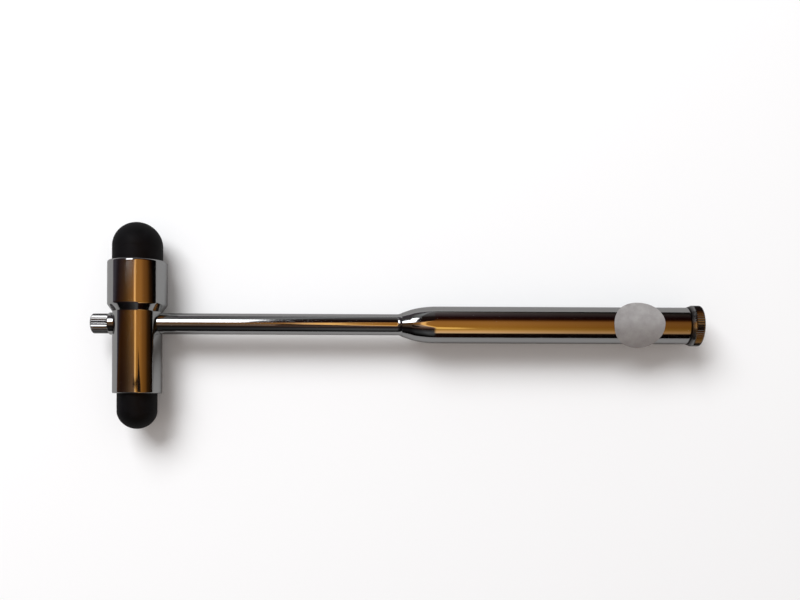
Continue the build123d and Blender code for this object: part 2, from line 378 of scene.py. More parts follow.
label_paper, tree = new_material("matt_label_paper")
place = add_node(tree, "ShaderNodeTexCoord").outputs["Object"]
fibre = noise(tree, place, PAPER_FIBRE, 4.0, 0.7)
mottle = noise(tree, place, PAPER_MOTTLE, 5.0)
fibre_and_mottle = reckoned(tree, "MULTIPLY_ADD", fibre, FIBRE_SHARE, mottle)
finish_material(
    tree,
    "ShaderNodeBsdfPrincipled",
    {
        "Base Color": ramp(tree, fibre_and_mottle, [(0.55, "#8C8887"), (0.95, "#9C9997")]),
        "Roughness": 0.82,
        "Normal": bump(tree, fibre, FIBRE_DEPTH, 0.6),
    },
)
print("material:", label_paper.name)

# %% [markdown]
# ## The head
# The head is one bar of brass, turned to two diameters with a sloping step between them and
# bored at both ends for the rubber. Its outline runs from the floor of one socket over the
# outside to the floor of the other, so a single surface of revolution makes it, inside and out.
# Every edge is rounded a little, because a rounded edge mirrors a thin bright line of the room,
# and that line is what the eye reads as solid metal. The hole across is cut out of that surface
# afterwards, as the drill does it.

# %% Carving a hole in a skin
def carved(body, cutter):
    """What is left of a closed skin when another one is cut out of it: both are handed over as
    vertices and faces in millimetres."""
    solids = []
    for vertices, faces in (body, cutter):
        mesh = bpy.data.meshes.new("rough")
        mesh.from_pydata(vertices.tolist(), [], faces)
        solids.append(bpy.data.objects.new("rough", mesh))
        bpy.context.scene.collection.objects.link(solids[-1])
    cut = solids[0].modifiers.new("cut", "BOOLEAN")
    cut.object, cut.operation, cut.solver = solids[1], "DIFFERENCE", "EXACT"
    bpy.context.view_layer.update()
    result = solids[0].evaluated_get(bpy.context.evaluated_depsgraph_get()).to_mesh()
    points = np.empty(len(result.vertices) * 3)
    result.vertices.foreach_get("co", points)
    faces = [tuple(face.vertices) for face in result.polygons]
    for solid in solids:
        bpy.data.meshes.remove(solid.data)
    return points.reshape(-1, 3), faces


def cut_in(points, depth):
    """Moves the points of a turned grid towards the handle axis by a depth in millimetres, given
    for each point."""
    out = np.hypot(points[..., 1], points[..., 2])
    nearer = np.divide(out - depth, out, out=np.ones_like(out), where=out > 1e-9)
    return np.stack([points[..., 0], points[..., 1] * nearer, points[..., 2] * nearer], axis=-1)


def thread_groove(points, pitch, depth, start, end):
    """The depth of a right-hand thread at each point of a turned grid: a rounded groove winds round
    the axis once per pitch, and fades over one pitch at both ends."""
    along = points[..., 0]
    angle = np.arctan2(points[..., 2], points[..., 1])
    phase = np.mod(along / pitch - angle / (2 * np.pi), 1)
    groove = 0.5 - 0.5 * np.cos(2 * np.pi * phase)
    fade = np.clip(np.minimum(along - start, end - along) / pitch, 0, 1)
    return depth * groove**1.4 * fade


# %% Head
SMALL_R, LARGE_R = 7.3, 8.8
SMALL_RIM, LARGE_RIM = -21.1, 18.75
SMALL_FLOOR, LARGE_FLOOR = -11.6, 8.75
SMALL_SOCKET_R, LARGE_SOCKET_R = 5.97, 7.47
STEP_FOOT, STEP_TOP = 3.5, 5.6
SOCKET_LIP = 0.2
HEAD_COLUMNS = 256

head_outline = rounded(
    [
        (SMALL_FLOOR, 0, 0), (SMALL_FLOOR, SMALL_SOCKET_R, 0.2),
        (SMALL_RIM + SOCKET_LIP, SMALL_SOCKET_R, 0.15),
        (SMALL_RIM, SMALL_SOCKET_R + SOCKET_LIP, 0.15),
        (SMALL_RIM, SMALL_R, 0.3), (STEP_FOOT, SMALL_R, 0.5), (STEP_TOP, LARGE_R, 1.0),
        (LARGE_RIM, LARGE_R, 0.9),
        (LARGE_RIM, LARGE_SOCKET_R + SOCKET_LIP, 0.15),
        (LARGE_RIM - SOCKET_LIP, LARGE_SOCKET_R, 0.15), (LARGE_FLOOR, LARGE_SOCKET_R, 0.2),
        (LARGE_FLOOR, 0, 0),
    ],
    steps=11,
)
vertices, faces = skin(onto_head_axis(turned(head_outline, HEAD_COLUMNS)))
head_blank = vertices, outwards(vertices, faces)

# %% [markdown]
# The hole across runs from the knob's seat to the shaft's: a recess for the flange, a threaded
# hole, a fine bore for the needle, a hole for the shaft's spigot and a recess for the shaft. The
# cutter has that shape and reaches past the head at both ends.

# %% The hole across the head
KNOB_SEAT, SHAFT_SEAT = -6.431, 6.524
KNOB_RECESS_R, SHAFT_RECESS_R = 3.455, 3.275
NEEDLE_THREAD_END, SPIGOT_START = -2.231, 1.524
NEEDLE_PITCH = 0.7
THREAD_HOLE_R, NEEDLE_BORE_R, SPIGOT_HOLE_R = 2.0, 1.0, 2.5
HOLE_END = NEEDLE_THREAD_END + 0.5
SPIGOT_FLOOR = SPIGOT_START - 0.05
PAST_HEAD = 11

thread_rows = np.arange(KNOB_SEAT + 0.05, NEEDLE_THREAD_END + 0.45, NEEDLE_PITCH / 8)
thread_hole = [(along, THREAD_HOLE_R, 0) for along in thread_rows]
bore_outline = rounded(
    [
        (-PAST_HEAD, 0, 0), (-PAST_HEAD, KNOB_RECESS_R, 0), (KNOB_SEAT, KNOB_RECESS_R, 0),
        (KNOB_SEAT, THREAD_HOLE_R, 0), *thread_hole,
        (HOLE_END, THREAD_HOLE_R, 0), (HOLE_END, NEEDLE_BORE_R, 0),
        (SPIGOT_FLOOR, NEEDLE_BORE_R, 0), (SPIGOT_FLOOR, SPIGOT_HOLE_R, 0),
        (SHAFT_SEAT, SPIGOT_HOLE_R, 0), (SHAFT_SEAT, SHAFT_RECESS_R, 0),
        (PAST_HEAD, SHAFT_RECESS_R, 0), (PAST_HEAD, 0, 0),
    ]
)
bore = turned(bore_outline, 72)
in_thread = (bore_outline[:, 1] == THREAD_HOLE_R)[:, None]
groove = thread_groove(bore, NEEDLE_PITCH, 0.3, KNOB_SEAT + 0.1, NEEDLE_THREAD_END + 0.4)
bore = cut_in(bore, -groove * in_thread)
vertices, faces = skin(bore)
vertices, faces = carved(head_blank, (vertices, outwards(vertices, faces)))
mesh_piece("turned_head", vertices, faces, "hammer", chrome_plate, ("head_body",))

# %% [markdown]
# ## The rubber tips
# Each tip is a bullet whose plug is squeezed into a socket. The dome isn't a half ball: its side
# curves more tightly than its crown, so it is drawn with two arcs that share a tangent. The two
# halves of the mould leave a hair-thin seam round it.

# %% Rubber tips
def rubber_tip(radius, rim, floor, reach, dome):
    """A bullet along the head axis: plug, straight side with the mould's seam, and a dome of two
    tangent arcs."""
    root, start, top = rim - floor + 0.3, rim + reach - dome, rim + reach
    side = 0.8 * dome
    crown = ((radius - side) ** 2 + dome**2 - side**2) / (2 * (dome - side))
    meet = math.atan2(crown - dome, radius - side)
    t = np.linspace(0, meet, 40)
    side_arc = np.stack([start + side * np.sin(t), radius - side + side * np.cos(t)], axis=1)
    t = np.linspace(meet, np.pi / 2, 40)[1:]
    crown_arc = np.stack([top - crown + crown * np.sin(t), crown * np.cos(t)], axis=1)
    crown_arc[-1, 1] = 0
    foot = rounded([(root, 0, 0), (root, radius, 0.5), (start, radius, 0)])
    run = np.linspace(rim + 0.1, start - 0.1, 24)
    near_seam = np.clip(1 - np.abs(run - (start - 0.5)) / 0.25, 0, 1)
    seam = np.stack([run, radius - 0.04 * near_seam], axis=1)
    return turned(np.concatenate([foot[:-1], seam, side_arc, crown_arc]), 160)


TIPS = {
    "large": {"radius": 7.46, "rim": LARGE_RIM, "floor": 10.0, "reach": 11.95, "dome": 7.4},
    "small": {"radius": 5.96, "rim": -SMALL_RIM, "floor": 9.5, "reach": 10.8, "dome": 5.4},
}
for which, sizes in TIPS.items():
    points = onto_head_axis(rubber_tip(**sizes))
    if which == "small":
        points[..., 1] *= -1
    grid_piece(
        f"{which}_tip_rubber", points, "hammer", tip_rubber, (f"{which}_rubber_tip",)
    )

# %% [markdown]
# ## Shaft and grip
# The shaft is a slim rod with a small flare where it runs into the grip. The nose of the grip is
# what the light plays on most: a short cone, a tight shoulder and a long, almost straight
# run-out into the barrel. Along such a run-out the mirror image of the room is drawn out into a
# pointed flame, and that shape needs many rows, since each row mirrors another direction.

# %% Shaft
SHAFT_R, FLARE_R, JOINT = 3.175, 3.625, 80.2
SPIGOT_R, SPIGOT_LENGTH = 2.45, 7
FLARE_LENGTH = 1.5
NEEDLE_TIP = 19.269
flare_rise = FLARE_R - SHAFT_R
flare_radius = (FLARE_LENGTH**2 + flare_rise**2) / (2 * flare_rise)
t = np.linspace(0, math.asin(FLARE_LENGTH / flare_radius), 12)
flare_along = JOINT - FLARE_LENGTH + flare_radius * np.sin(t)
flare_out = SHAFT_R + flare_radius * (1 - np.cos(t))
flare = [(along, out, 0) for along, out in zip(flare_along, flare_out)]
shaft_outline = rounded(
    [
        (NEEDLE_TIP + 1.1, 0, 0), (NEEDLE_TIP + 0.5, NEEDLE_BORE_R, 0),
        (SPIGOT_START, NEEDLE_BORE_R, 0.1), (SPIGOT_START, SPIGOT_R, 0.25),
        (SHAFT_SEAT, SPIGOT_R, 0), (SHAFT_SEAT, SHAFT_R, 0.12), *flare, (JOINT, SPIGOT_R, 0),
        (JOINT + SPIGOT_LENGTH, SPIGOT_R, 0.25), (JOINT + SPIGOT_LENGTH, 0, 0),
    ]
)
grid_piece(
    "slim_shaft", turned(shaft_outline, 192), "hammer", chrome_plate, ("shaft",)
)

# %% [markdown]
# The grip's outline starts at the bottom of the hole for the shaft. From there it runs over the
# nose and the long barrel to the far end, and back in through the threaded hole to the bore of
# the brush, so outside and inside are one surface again.

# %% Grip
GRIP_R, GRIP_BORE_R, GRIP_THREAD_R = 5.55, 4.1, 4.5
CONE_ANGLE, CONE_LENGTH = math.radians(19), 2.6
SHOULDER_RADIUS, RUN_OUT_RADIUS = 10.0, 33.0
GRIP_END = 166.389
BRUSH_PITCH = 0.75
BRUSH_THREAD_END = GRIP_END - 8
BRUSH_BORE_END, DRILL_POINT = GRIP_END - 36, GRIP_END - 38.4


def arc_between(start, radius, first, last, rows):
    """A convex arc from a point, along which the slope falls from a first angle to a last one."""
    slope = np.linspace(first, last, rows)
    run = math.sin(first) - np.sin(slope)
    rise = np.cos(slope) - math.cos(first)
    return start + radius * np.stack([run, rise], axis=1)


cone_top = np.array([JOINT + CONE_LENGTH, FLARE_R + CONE_LENGTH * math.tan(CONE_ANGLE)])
rise = GRIP_R - cone_top[1] - SHOULDER_RADIUS * (1 - math.cos(CONE_ANGLE))
meeting = math.acos(1 - rise / (RUN_OUT_RADIUS - SHOULDER_RADIUS))
shoulder = arc_between(cone_top, SHOULDER_RADIUS, CONE_ANGLE, meeting, 26)
run_out = arc_between(shoulder[-1], RUN_OUT_RADIUS, meeting, 0, 40)
foot = rounded([(JOINT, SPIGOT_HOLE_R, 0), (JOINT, FLARE_R, 0.15), (*cone_top, 0)])
nose = np.concatenate([foot[:-1], shoulder, run_out[1:]])
thread_rows = np.arange(GRIP_END - 0.3, BRUSH_THREAD_END - 0.3, -BRUSH_PITCH / 8)
thread_hole = [(along, GRIP_THREAD_R, 0) for along in thread_rows]
spigot_hole = rounded(
    [
        (JOINT + 8.5, 0, 0),
        (JOINT + SPIGOT_LENGTH + 0.05, SPIGOT_HOLE_R, 0),
        (JOINT, SPIGOT_HOLE_R, 0),
    ]
)
grip_outline = np.concatenate(
    [
        spigot_hole[:-1],
        nose,
        rounded(
            [
                (*run_out[-1], 0), (GRIP_END, GRIP_R, 0.3), (GRIP_END, GRIP_THREAD_R, 0.15),
                *thread_hole, (BRUSH_THREAD_END - 0.5, GRIP_THREAD_R, 0),
                (BRUSH_THREAD_END - 0.5, GRIP_BORE_R, 0), (BRUSH_BORE_END, GRIP_BORE_R, 0),
                (DRILL_POINT, 0, 0),
            ]
        )[1:],
    ]
)
grip = turned(grip_outline, 256)
in_thread = (np.abs(grip_outline[:, 1] - GRIP_THREAD_R) < 1e-6)[:, None]
groove = thread_groove(grip, BRUSH_PITCH, 0.32, BRUSH_THREAD_END - 0.4, GRIP_END - 0.2)
grip = cut_in(grip, -groove * in_thread)
grid_piece("grip_sleeve", grip, "hammer", chrome_plate, ("grip",))

# %% [markdown]
# ## Knob and cap
# Both screwed tools are fluted so that fingers can turn them. A flute isn't drawn as a separate
# shape: the radius of the turned grid is made to rise and fall a set number of times round the
# axis, and the same trick with an angle that grows along the axis gives the screw thread.

# %% Flutes round a grid
def flutes(points, count, depth, start, end, fade):
    """The depth of straight V grooves with rounded crests at each point: they run along the axis
    and fade out over a length at both ends."""
    along = points[..., 0]
    angle = np.arctan2(points[..., 2], points[..., 1])
    saw = np.abs(2 * np.mod(angle * count / (2 * np.pi), 1) - 1)
    fading = np.clip(np.minimum(along - start, end - along) / fade, 0, 1)
    return depth * np.clip(1.25 * saw - 0.1, 0, 1) * fading


# %% [markdown]
# The knob is a fluted barrel, a plain flange that seats in the head, and a shank with a screw
# thread. Its grid has eight columns to each flute, so that the crests stay round.

# %% Knob with its threaded shank
KNOB_R, KNOB_END, KNOB_FLUTES = 3.025, -13.581, 28
FLANGE_R, FLANGE_TOP = 3.355, -8.331
NEEDLE_THREAD_R, NEEDLE_R = 1.95, 0.45
NEEDLE_ROOT = NEEDLE_THREAD_END - 7
NEEDLE_SOCKET_R, NEEDLE_SOCKET = 0.5, NEEDLE_ROOT - 0.05
KNOB_NECK_R, KNOB_DISH = 1.55, 0.12

barrel = [(along, KNOB_R, 0) for along in np.linspace(KNOB_END + 0.45, FLANGE_TOP - 0.02, 16)]
thread_rows = np.arange(KNOB_SEAT + 0.85, NEEDLE_THREAD_END - 0.42, NEEDLE_PITCH / 10)
shank = [(along, NEEDLE_THREAD_R, 0) for along in thread_rows]
knob_outline = rounded(
    [
        (KNOB_END + KNOB_DISH, 0, 0), (KNOB_END + KNOB_DISH, 1.5, 0.3), (KNOB_END, 1.75, 0.3),
        (KNOB_END, KNOB_R - 0.4, 0.15), (KNOB_END + 0.4, KNOB_R, 0.15), *barrel,
        (FLANGE_TOP, KNOB_R - 0.05, 0), (FLANGE_TOP, FLANGE_R, 0.3), (KNOB_SEAT, FLANGE_R, 0.12),
        (KNOB_SEAT, KNOB_NECK_R, 0), (KNOB_SEAT + 0.8, KNOB_NECK_R, 0),
        *shank, (NEEDLE_THREAD_END - 0.4, NEEDLE_THREAD_R, 0),
        (NEEDLE_THREAD_END, NEEDLE_THREAD_R - 0.4, 0.1), (NEEDLE_THREAD_END, NEEDLE_SOCKET_R, 0.1),
        (NEEDLE_SOCKET, NEEDLE_SOCKET_R, 0), (NEEDLE_SOCKET, 0, 0),
    ]
)
knob = turned(knob_outline, KNOB_FLUTES * 8)
on_barrel = ((knob_outline[:, 0] < FLANGE_TOP - 0.01) & (knob_outline[:, 1] > 2.2))[:, None]
on_shank = (np.abs(knob_outline[:, 1] - NEEDLE_THREAD_R) < 1e-6)[:, None]
knob = cut_in(
    knob,
    flutes(knob, KNOB_FLUTES, 0.17, KNOB_END - 0.1, FLANGE_TOP + 0.2, 0.3) * on_barrel
    + thread_groove(knob, NEEDLE_PITCH, 0.38, KNOB_SEAT + 0.5, NEEDLE_THREAD_END) * on_shank,
)
grid_piece("fluted_knob", knob, "knob", chrome_plate, ("needle_knob",))

# %% [markdown]
# The needle is a plain pin with a slender point, held by its root in the end of that shank.

# %% Needle
needle_outline = rounded(
    [
        (NEEDLE_ROOT, 0, 0), (NEEDLE_ROOT, NEEDLE_R, 0.08), (NEEDLE_TIP - 4, NEEDLE_R, 6.0),
        (NEEDLE_TIP - 0.04, 0.04, 0.05), (NEEDLE_TIP, 0, 0),
    ],
    steps=12,
)
grid_piece(
    "ground_needle", turned(needle_outline, 48), "needle", needle_steel, ("needle",)
)

# %% [markdown]
# The cap is made as the knob is. Its bevel that meets the grip is darkened nearly to black, which
# is painted shade in the groove between grip and cap, and its knurl is made a little darker; here
# each point of the cap gets its number for that.

# %% Cap with its threaded shank
CAP_R, CAP_END, CAP_FLUTES = 6.15, GRIP_END + 3.9, 56
BEVEL_END = GRIP_END + 1.2
BRUSH_THREAD_R, TUFT_ROOT_R = 4.45, 2.5
TUFT_SOCKET_R, TUFT_SOCKET = TUFT_ROOT_R + 0.05, BRUSH_THREAD_END + 4.55
CAP_NECK_R, CAP_DISH = 4.05, 0.12
# The bevel's share is painted shade; the knurl's share only makes it darker.
PAINTED_SHADE_ON_BEVEL, DARKER_KNURL = 0.97, 0.38

band = [(along, CAP_R, 0) for along in np.linspace(BEVEL_END + 0.05, CAP_END - 0.85, 12)]
thread_rows = np.arange(GRIP_END - 0.85, BRUSH_THREAD_END + 0.42, -BRUSH_PITCH / 10)
shank = [(along, BRUSH_THREAD_R, 0) for along in thread_rows]
cap_outline = rounded(
    [
        (CAP_END - CAP_DISH, 0, 0), (CAP_END - CAP_DISH, 4.2, 0.3), (CAP_END, 4.5, 0.3),
        (CAP_END, CAP_R, 0.8), *band[::-1], (BEVEL_END, CAP_R - 0.02, 0.05),
        (GRIP_END, GRIP_R + 0.1, 0.1), (GRIP_END, CAP_NECK_R, 0), (GRIP_END - 0.8, CAP_NECK_R, 0),
        *shank, (BRUSH_THREAD_END + 0.4, BRUSH_THREAD_R, 0),
        (BRUSH_THREAD_END, BRUSH_THREAD_R - 0.4, 0.1), (BRUSH_THREAD_END, TUFT_SOCKET_R, 0.15),
        (TUFT_SOCKET, TUFT_SOCKET_R, 0), (TUFT_SOCKET, 0, 0),
    ],
    steps=9,
)
cap = turned(cap_outline, CAP_FLUTES * 6)
on_band = ((cap_outline[:, 0] > BEVEL_END + 0.01) & (cap_outline[:, 1] > 5))[:, None]
on_shank = (np.abs(cap_outline[:, 1] - BRUSH_THREAD_R) < 1e-6)[:, None]
cap = cut_in(
    cap,
    flutes(cap, CAP_FLUTES, 0.2, BEVEL_END, CAP_END - 0.05, 0.35) * on_band
    + thread_groove(cap, BRUSH_PITCH, 0.38, BRUSH_THREAD_END, GRIP_END - 0.5) * on_shank,
)
vertices, faces = skin(cap)
knurled_cap = mesh_piece(
    "knurled_cap",
    vertices,
    outwards(vertices, faces),
    "cap",
    chrome_plate,
    ("brush_cap",),
)
along = vertices[:, 0]
# Nearly black on the bevel as painted shade, a little darker on the knurl.
darker_share = np.where(along > BEVEL_END - 0.02, DARKER_KNURL, PAINTED_SHADE_ON_BEVEL)
darker_share *= (along >= GRIP_END) & (along < CAP_END - 0.3)
cap_darkening = knurled_cap.data.attributes.new("darkening", "FLOAT", "POINT")
cap_darkening.data.foreach_set("value", darker_share.astype(np.float32))

# %% [markdown]
# ## The brush
# The brush hidden in the grip is a bundle of nylon bristles crimped into the end of the cap's
# shank. Each bristle is a thin tube that leans and bends a little outwards, and they are spread
# like the seeds of a sunflower, a golden angle apart, which fills a disc evenly. All tubes are
# computed at once, as one array with an axis for the bristle.

# %% Brush
BRISTLES, BRISTLE_R, BRISTLE_LENGTH = 260, 0.1, 17.4
BRISTLE_ROWS, BRISTLE_SIDES = 7, 6
GOLDEN_ANGLE = math.pi * (3 - math.sqrt(5))
PLUG_TOP, PLUG_FOOT = BRUSH_THREAD_END + 4.5, BRUSH_THREAD_END - 0.5
rng = np.random.default_rng(7)

number = np.arange(BRISTLES)[:, None, None]
around = np.linspace(0, 2 * np.pi, BRISTLE_SIDES, endpoint=False)[None, None, :]
down = np.linspace(0, 1, BRISTLE_ROWS)[None, :, None]
root_out = 2.05 * np.sqrt((number + 0.5) / BRISTLES)
heading = number * GOLDEN_ANGLE + rng.normal(0, 0.03, (BRISTLES, 1, 1))
length = BRISTLE_LENGTH - 0.05 * root_out**2 + rng.uniform(-0.35, 0, (BRISTLES, 1, 1))
sway = rng.normal(0, 0.12, (2, BRISTLES, 1, 1))
lean = root_out * (1 + 0.24 * down + 0.06 * down**2)
taper = BRISTLE_R * np.where(down == 1, 0.55, 1.0)
bristles = np.stack(
    [
        BRUSH_THREAD_END - 0.3 - length * down + 0 * around,
        lean * np.cos(heading) + sway[0] * down**2 + taper * np.cos(around),
        lean * np.sin(heading) + sway[1] * down**2 + taper * np.sin(around),
    ],
    axis=-1,
)
vertices = bristles.reshape(-1, 3)
index = np.arange(len(vertices)).reshape(BRISTLES, BRISTLE_ROWS, BRISTLE_SIDES)
beside = np.roll(index, -1, 2)
corners = [index[:, :-1], beside[:, :-1], beside[:, 1:], index[:, 1:]]
side = np.stack(corners, axis=-1).reshape(-1, 4)
faces = side.tolist() + index[:, 0, ::-1].tolist() + index[:, -1].tolist()
plug_outline = rounded(
    [
        (PLUG_TOP, 0, 0), (PLUG_TOP, TUFT_ROOT_R, 0.2), (PLUG_FOOT, TUFT_ROOT_R, 0.35),
        (PLUG_FOOT, 0, 0),
    ]
)
plug_vertices, plug_faces = skin(turned(plug_outline, 96))
plug_faces = outwards(plug_vertices, plug_faces)
faces = outwards(vertices, faces) + [tuple(i + len(vertices) for i in face) for face in plug_faces]
mesh_piece(
    "nylon_tuft",
    np.concatenate([vertices, plug_vertices]),
    faces,
    "brush",
    bristle_nylon,
    ("brush_tuft",),
)

# %% [markdown]
# ## The label
# The round paper label is left bare. It is glued along the crest of the grip, and towards both
# sides the stiff paper doesn't follow the tight curve all the way. It is a flat disc in polar
# coordinates that is then wrapped: near the crest on the grip's own circle, further out on a
# much wider one with the same tangent. The rim lifts a little here and there.

# %% Label
LABEL_R, LABEL_MIDDLE, LABEL_THICKNESS = 7.55, GRIP_END - 15.6, 0.15
GLUED_R, GLUED_ANGLE, LIFT_RADIUS = GRIP_R + 0.02, math.radians(20), 14.6
LABEL_TURN = math.radians(0.7)
LABEL_ROWS, EDGE_R = 44, 0.05
WOBBLES = ((5, 0.003, 1.0), (11, 0.002, 0.0), (23, 0.0012, 0.0))


def wrapped(along, across, above):
    """Points of the paper on the grip, from the place on the flat paper and the height above its
    underside."""
    beyond = np.maximum(np.abs(across) - GLUED_R * GLUED_ANGLE, 0)
    glued = np.minimum(np.abs(across) / GLUED_R, GLUED_ANGLE)
    bend = GLUED_ANGLE + beyond / LIFT_RADIUS
    lifted = beyond > 0
    slope = np.where(lifted, bend, glued) * np.sign(across)
    free_radius = LIFT_RADIUS * lifted
    y = GLUED_R * np.sin(glued) + free_radius * (np.sin(bend) - math.sin(GLUED_ANGLE))
    z = GLUED_R * np.cos(glued) + free_radius * (np.cos(bend) - math.cos(GLUED_ANGLE))
    y = y * np.sign(across) + above * np.sin(slope)
    z = z + above * np.cos(slope)
    turned_y = y * math.cos(LABEL_TURN) - z * math.sin(LABEL_TURN)
    turned_z = y * math.sin(LABEL_TURN) + z * math.cos(LABEL_TURN)
    return np.stack([along, turned_y, turned_z], axis=-1)


edge = np.linspace(0, np.pi, 7)[1:-1]
face = np.linspace(0, LABEL_R - EDGE_R - 0.01, LABEL_ROWS)
out = np.concatenate([face, LABEL_R - EDGE_R + EDGE_R * np.sin(edge), face[::-1]])[:, None]
fall = LABEL_THICKNESS / 2 * (1 + np.cos(edge))
above = np.concatenate([np.full(LABEL_ROWS, LABEL_THICKNESS), fall, np.zeros(LABEL_ROWS)])[:, None]
angle = np.linspace(0, 2 * np.pi, 192, endpoint=False)
wobble = 1 + sum(size * np.sin(waves * angle + start) for waves, size, start in WOBBLES)
lift = 0.05 * (1 + np.sin(3 * angle + 0.6)) * (np.clip(out / LABEL_R - 0.75, 0, 1) / 0.25) ** 2
flat_along, flat_across = out * wobble * np.cos(angle), out * wobble * np.sin(angle)
label = wrapped(flat_along + LABEL_MIDDLE, flat_across, above + lift)
grid_piece("bare_round_label", label, "hammer", label_paper, ("blank_label",))

# %% [markdown]
# ## The floor
# The hammer lies on a plain pale floor that takes its soft shadow. The floor is one large sheet,
# so that no edge of it comes into the picture.

# %% Floor
FLOOR_HALF = 6.0


def stage_piece(name, vertices, faces, material):
    """A mesh in metres that belongs to the studio and not to the object."""
    mesh = bpy.data.meshes.new(name)
    mesh.from_pydata(vertices, [], faces)
    mesh.materials.append(material)
    piece = bpy.data.objects.new(name, mesh)
    bpy.context.scene.collection.objects.link(piece)
    return piece


def square(half, height):
    """The corners of a level square round the origin."""
    return [(x * half, y * half, height) for x, y in ((-1, -1), (1, -1), (1, 1), (-1, 1))]


floor_paint, tree = new_material("pale_floor")
finish_material(tree, "ShaderNodeBsdfDiffuse", {"Color": linear("#FBFBFB")})
stage_piece("floor", square(FLOOR_HALF, 0.0), [(0, 1, 2, 3)], floor_paint)

# %% [markdown]
# ## What the chrome mirrors
# A mirror shows its surroundings, so most of the look of this hammer is the room. The hammer lay on
# a table in a warm, dim room, and the background of the picture was made white later, which the
# metal doesn't show. The table is a grey sheet, and its grey is painted shade: the shaded floor
# round the hammer as the metal mirrors it. The room is a low, wide dome, and only mirror rays meet
# them: they give no light to anything else. The dome's ceiling hangs just under the camera, because
# what these metal parts mirror was near: the same bright edge shows far along the nose of the grip
# and close to the axis of the head.

# %% The grey table in the mirror, its grey painted shade
TABLE_HEIGHT = 0.00002


def only_in_mirrors(thing):
    """Hides a thing from all rays but those that a glossy surface sends out."""
    for kind in ("camera", "diffuse", "transmission", "volume_scatter", "shadow"):
        setattr(thing, f"visible_{kind}", False)


# The grey of this sheet is painted shade on the floor that the metal mirrors.
shaded_table_paint, tree = new_material("grey_table_painted_shade")
finish_material(tree, "ShaderNodeBsdfDiffuse", {"Color": linear("#A3A2A2")})
table = stage_piece(
    "shaded_table_in_mirrors", square(FLOOR_HALF, TABLE_HEIGHT), [(0, 1, 2, 3)], shaded_table_paint
)
only_in_mirrors(table)

# %% [markdown]
# The room is painted by two angles seen from its own origin, one along the handle and one along
# the head, each from straight up. Straight up is the middle of a ramp, and the horizon lies at
# its ends. So each colour stands where the curved metal mirrors it: the handle, a cylinder along
# X, mirrors the room along one line of the second angle, and the head along one of the first.

# %% Angles of the room
def turn(degrees):
    """The place on a ramp of an angle in degrees, from -90 at one horizon to 90 at the other."""
    return degrees / 180 + 0.5


def by_degrees(colours):
    """The stops of a ramp from colours that are given by their angle in degrees."""
    return [(turn(degrees), colour) for degrees, colour in colours.items()]


def tilt(axis):
    """The angle from straight up towards an axis, as a place on a ramp."""
    angle = reckoned(tree, "ARCTAN2", axes.outputs[axis], axes.outputs["Z"])
    return reckoned(tree, "MULTIPLY_ADD", angle, 1 / math.pi, 0.5)


room_paint, tree = new_material("warm_room")
place = add_node(tree, "ShaderNodeTexCoord").outputs["Object"]
axes = add_node(tree, "ShaderNodeSeparateXYZ", {0: place})
along_handle, along_head = tilt("X"), tilt("Y")

# %% [markdown]
# The side of the room over the grip is a warm gold. The side beyond the head is greyer, with a
# dim corner next to the gold. The edge between the two sides isn't straight: it is given as an
# angle along the handle for each angle along the head, and one degree is 1/180 of a ramp. Away
# from that edge everything grows darker.

# %% Colours of the room
DEGREE = 1 / 180
EDGE_AT = {-22: 19, -12: 9, -4: 3, 12: 3, 24: 19}

gold_side = ramp(
    tree,
    along_head,
    by_degrees({
        -90: "#1A0A06", -74: "#120604", -60: "#160A06", -54: "#CFA679", -44: "#C8965A",
        -32: "#A0722E", -18: "#915F20", 5: "#92602A", 16: "#8A5A28", 24: "#5A3210",
        31: "#230A02", 46: "#1A0808", 58: "#332829", 73: "#484040", 88: "#6C6A6A",
    }),
)
lamp_side = ramp(
    tree,
    along_head,
    by_degrees({
        -90: "#0C0A0A", -80: "#0C0A0A", -69: "#363636", -57: "#444446", -45: "#303030",
        -34: "#160A07", -23: "#503C34", -12: "#8C7664", -3: "#6E5037", 7: "#926028",
        20: "#645E60", 32: "#A0A0A2", 56: "#787878", 70: "#A0A0A2", 88: "#A8A8AA",
    }),
)
dim_corner = ramp(
    tree,
    along_head,
    by_degrees({14: "#2A1812", 24: "#140906", 48: "#1A1210", 58: "#3E3A3A", 85: "#5C5A5A"}),
)
left_edge = ramp(tree, along_head, by_degrees({b: (*[turn(a)] * 3, 1) for b, a in EDGE_AT.items()}))
past_edge = reckoned(tree, "SUBTRACT", along_handle, left_edge)
across = carried(tree, past_edge, -1 * DEGREE, 3 * DEGREE, curve="SMOOTHSTEP")
corner = reckoned(
    tree,
    "MULTIPLY",
    carried(tree, along_handle, turn(-5), turn(0)),
    carried(tree, along_head, turn(12), turn(16)),
)
sides = blend(tree, across, blend(tree, corner, lamp_side, dim_corner), gold_side)
fading = ramp(
    tree,
    along_handle,
    by_degrees({
        -90: (0.25, 0.22, 0.25, 1), -80: (0.11, 0.1, 0.12, 1), -60: (0.08, 0.06, 0.07, 1),
        -41: (0.14, 0.12, 0.13, 1), -28: (0.23, 0.23, 0.22, 1), -16: (0.41, 0.42, 0.42, 1),
        -3: (0.62, 0.62, 0.62, 1), 3: (1, 1, 1, 1), 28: (0.93, 0.93, 0.93, 1),
        40: (0.55, 0.52, 0.5, 1), 52: (0.37, 0.34, 0.3, 1), 64: (0.08, 0.07, 0.06, 1),
        80: (0.02, 0.02, 0.02, 1),
    }),
)
faded = blend(tree, 1.0, sides, fading, "MULTIPLY")

# %% [markdown]
# Two bright things are laid over those colours: a glow just past the edge, which is the bright
# line down the head, and a white window, which is the highlight on the shaft and the nose.

# %% Bright things in the room
CHROME_MIRRORS = 0.55
EDGE_GLOW = (2.7, 3.5, 5.5, 1)
WINDOW_WHITE = (2.2, 2.2, 2.3, 1)


